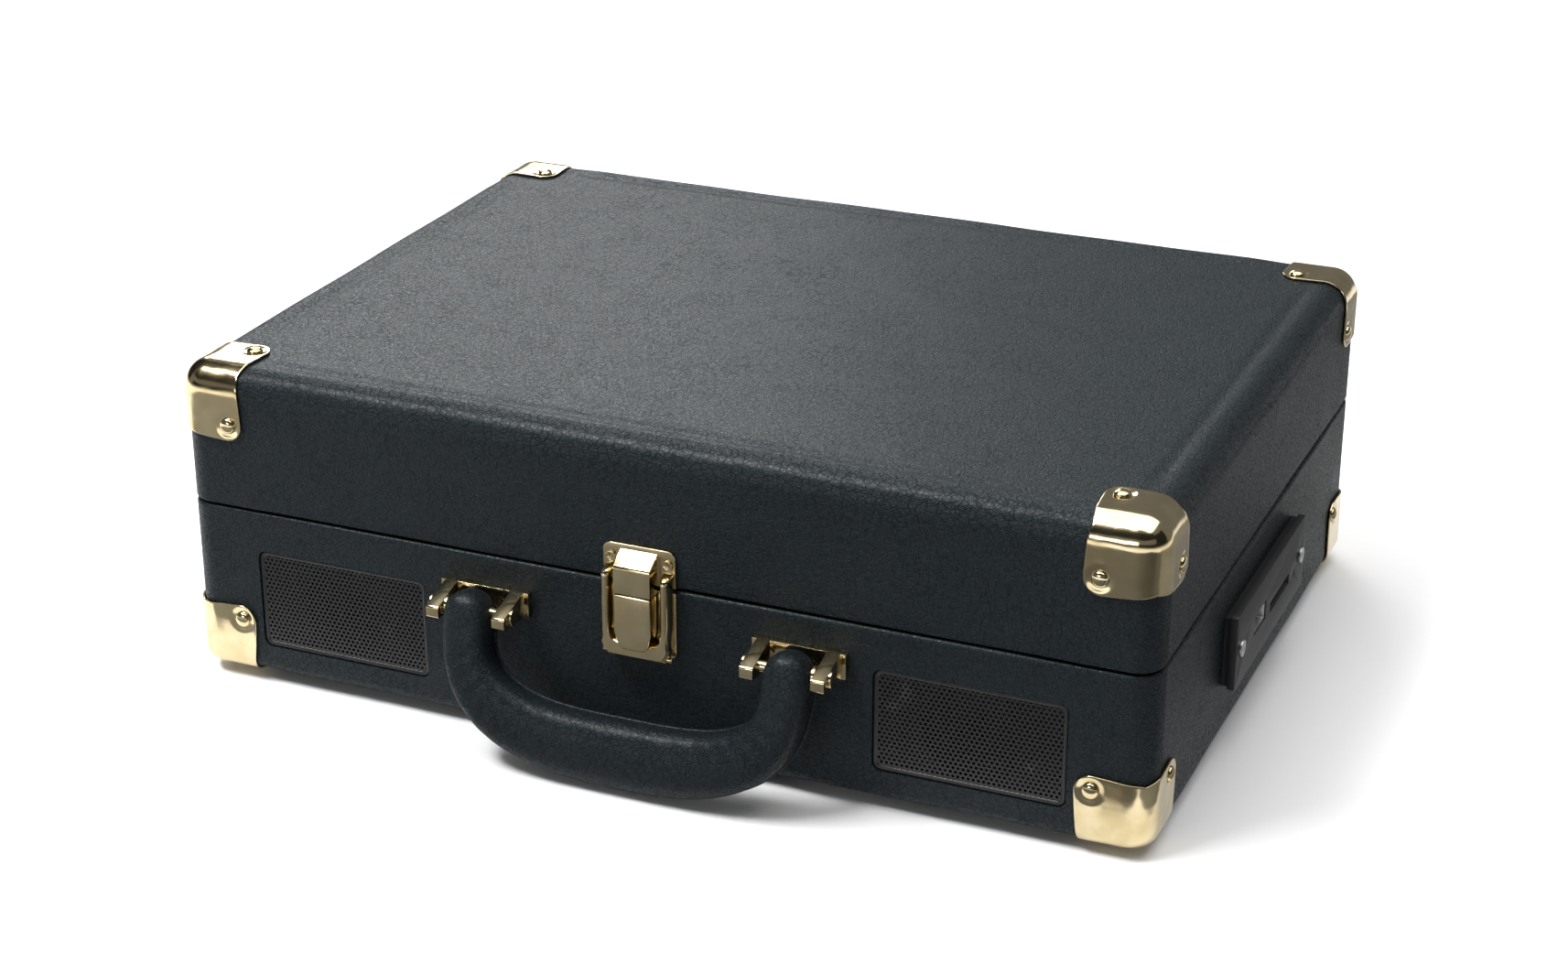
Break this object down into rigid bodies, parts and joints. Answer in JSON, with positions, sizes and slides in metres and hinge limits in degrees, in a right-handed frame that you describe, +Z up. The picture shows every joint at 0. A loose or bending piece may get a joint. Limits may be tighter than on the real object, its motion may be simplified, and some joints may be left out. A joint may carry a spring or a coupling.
{
  "type": "suitcase record player",
  "caption": "Portable suitcase record player: hinged leather-cloth case with metal corners, front latch, swinging handle, speaker grilles and a belt-driven turntable inside.",
  "frame": {"origin": "on the table, at the middle of the footprint that the case, its handle and its rear sockets cover", "axes": "+X to the right of the case, -Y out of its front (latch and handle side), +Z up"},
  "size_m": [0.3583, 0.2946, 0.1191],
  "materials": {
    "leather_cloth": "pebbled matte",
    "handle_leather": "pebbled matte",
    "gold_metal": "polished",
    "case_board": "raw",
    "lining_cloth": "brushed",
    "rubber": "matte",
    "black_grille": "satin",
    "speaker_cone": "paper",
    "black_plastic": "fine grain",
    "bright_steel": "satin",
    "bearing_brass": "turned",
    "deck_plastic": "satin",
    "platter_plastic": "satin",
    "felt": "felt",
    "tonearm_plastic": "satin",
    "cartridge_plastic": "gloss",
    "board_green": "solder mask"
  },
  "bodies": {
    "base": {"arm_rest": "black_plastic", "base_corner_front_left": "gold_metal", "base_corner_front_right": "gold_metal", "base_corner_rear_left": "gold_metal", "base_corner_rear_right": "gold_metal", "base_corner_rivets": "gold_metal", "base_cover": "leather_cloth", "base_floor": "case_board", "base_frame": "case_board", "base_screws": "gold_metal", "card_reader": "black_plastic", "circuit_board": "board_green", "dark_screws": "bright_steel", "deck_plate": "deck_plastic", "deck_posts": "case_board", "drive_belt": "rubber", "handle_bracket_left": "gold_metal", "handle_bracket_right": "gold_metal", "handle_pins": "gold_metal", "hinge_base_leaves": "gold_metal", "hinge_pins": "gold_metal", "latch_pin": "gold_metal", "latch_plate": "gold_metal", "motor": "bright_steel", "rear_sockets": "black_plastic", "rubber_feet": "rubber", "side_panel": "black_plastic", "speaker_drivers": "speaker_cone", "speaker_grille_left": "black_grille", "speaker_grille_right": "black_grille", "spindle_bearing": "bearing_brass", "tonearm_base": "black_plastic", "usb_socket": "bright_steel"},
    "lid": {"lid_corner_front_left": "gold_metal", "lid_corner_front_right": "gold_metal", "lid_corner_rear_left": "gold_metal", "lid_corner_rear_right": "gold_metal", "lid_corner_rivets": "gold_metal", "lid_cover": "leather_cloth", "lid_frame": "case_board", "lid_lining": "lining_cloth", "lid_screws": "gold_metal", "strike_plate": "gold_metal", "hinge_lid_leaves": "gold_metal"},
    "handle": {"handle_grip": "handle_leather"},
    "latch": {"latch_lever": "gold_metal", "latch_claw": "gold_metal"},
    "platter": {"platter": "platter_plastic", "slip_mat": "felt", "spindle": "bright_steel"},
    "pulley": {"motor_pulley": "bearing_brass"},
    "arm_yoke": {"tonearm_yoke": "tonearm_plastic"},
    "arm": {"tonearm": "tonearm_plastic", "cartridge": "cartridge_plastic"},
    "cue": {"cue_lever": "black_plastic"},
    "volume": {"volume_knob": "black_plastic"},
    "source": {"source_knob": "black_plastic"},
    "speed": {"speed_lever": "black_plastic"},
    "stop": {"auto_stop_switch": "black_plastic"},
    "adapter": {"record_adapter": "black_plastic"}
  },
  "joints": [
    {"name": "lid_hinge", "type": "hinge", "parent": "base", "child": "lid", "pos_m": [0, 0.141, 0.06605], "axis": [-1, 0, 0], "range_deg": [0, 95]},
    {"name": "handle_swing", "type": "hinge", "parent": "base", "child": "handle", "pos_m": [0, -0.1302, 0.0508], "axis": [-1, 0, 0], "range_deg": [0, 120]},
    {"name": "latch_flip", "type": "hinge", "parent": "base", "child": "latch", "pos_m": [0, -0.1226, 0.042], "axis": [1, 0, 0], "range_deg": [0, 95]},
    {"name": "platter_spin", "type": "hinge", "parent": "base", "child": "platter", "pos_m": [-0.042, 0.0173, 0.066], "axis": [0, 0, -1], "continuous": true},
    {"name": "pulley_spin", "type": "hinge", "parent": "base", "child": "pulley", "pos_m": [0.01928, -0.03412, 0.064], "axis": [0, 0, -1], "continuous": true},
    {"name": "arm_swing", "type": "hinge", "parent": "base", "child": "arm_yoke", "pos_m": [0.128, 0.0993, 0.082], "axis": [0, 0, -1], "range_deg": [0, 48]},
    {"name": "arm_lift", "type": "hinge", "parent": "arm_yoke", "child": "arm", "pos_m": [0.128, 0.0993, 0.082], "axis": [-1, 0, 0], "range_deg": [0, 6]},
    {"name": "cue_turn", "type": "hinge", "parent": "base", "child": "cue", "pos_m": [0.147, 0.0993, 0.068], "axis": [-1, 0, 0], "range_deg": [0, 40]},
    {"name": "volume_turn", "type": "hinge", "parent": "base", "child": "volume", "pos_m": [0.152, -0.0607, 0.066], "axis": [0, 0, -1], "range_deg": [0, 300]},
    {"name": "source_turn", "type": "hinge", "parent": "base", "child": "source", "pos_m": [0.152, -0.0307, 0.066], "axis": [0, 0, -1], "range_deg": [0, 60]},
    {"name": "speed_turn", "type": "hinge", "parent": "base", "child": "speed", "pos_m": [0.152, 0.0013, 0.062], "axis": [0, 0, -1], "range_deg": [-25, 25]},
    {"name": "stop_slide", "type": "slide", "parent": "base", "child": "stop", "axis": [0, 1, 0], "range_m": [0, 0.004]},
    {"name": "adapter_lift", "type": "slide", "parent": "base", "child": "adapter", "axis": [0, 0, 1], "range_m": [0, 0.025]}
  ],
  "couplings": [
    {"joint": "pulley_spin", "follows": "platter_spin", "ratio": 10.083},
    {"joint": "cue_turn", "follows": "arm_lift", "ratio": 6.6667}
  ]
}
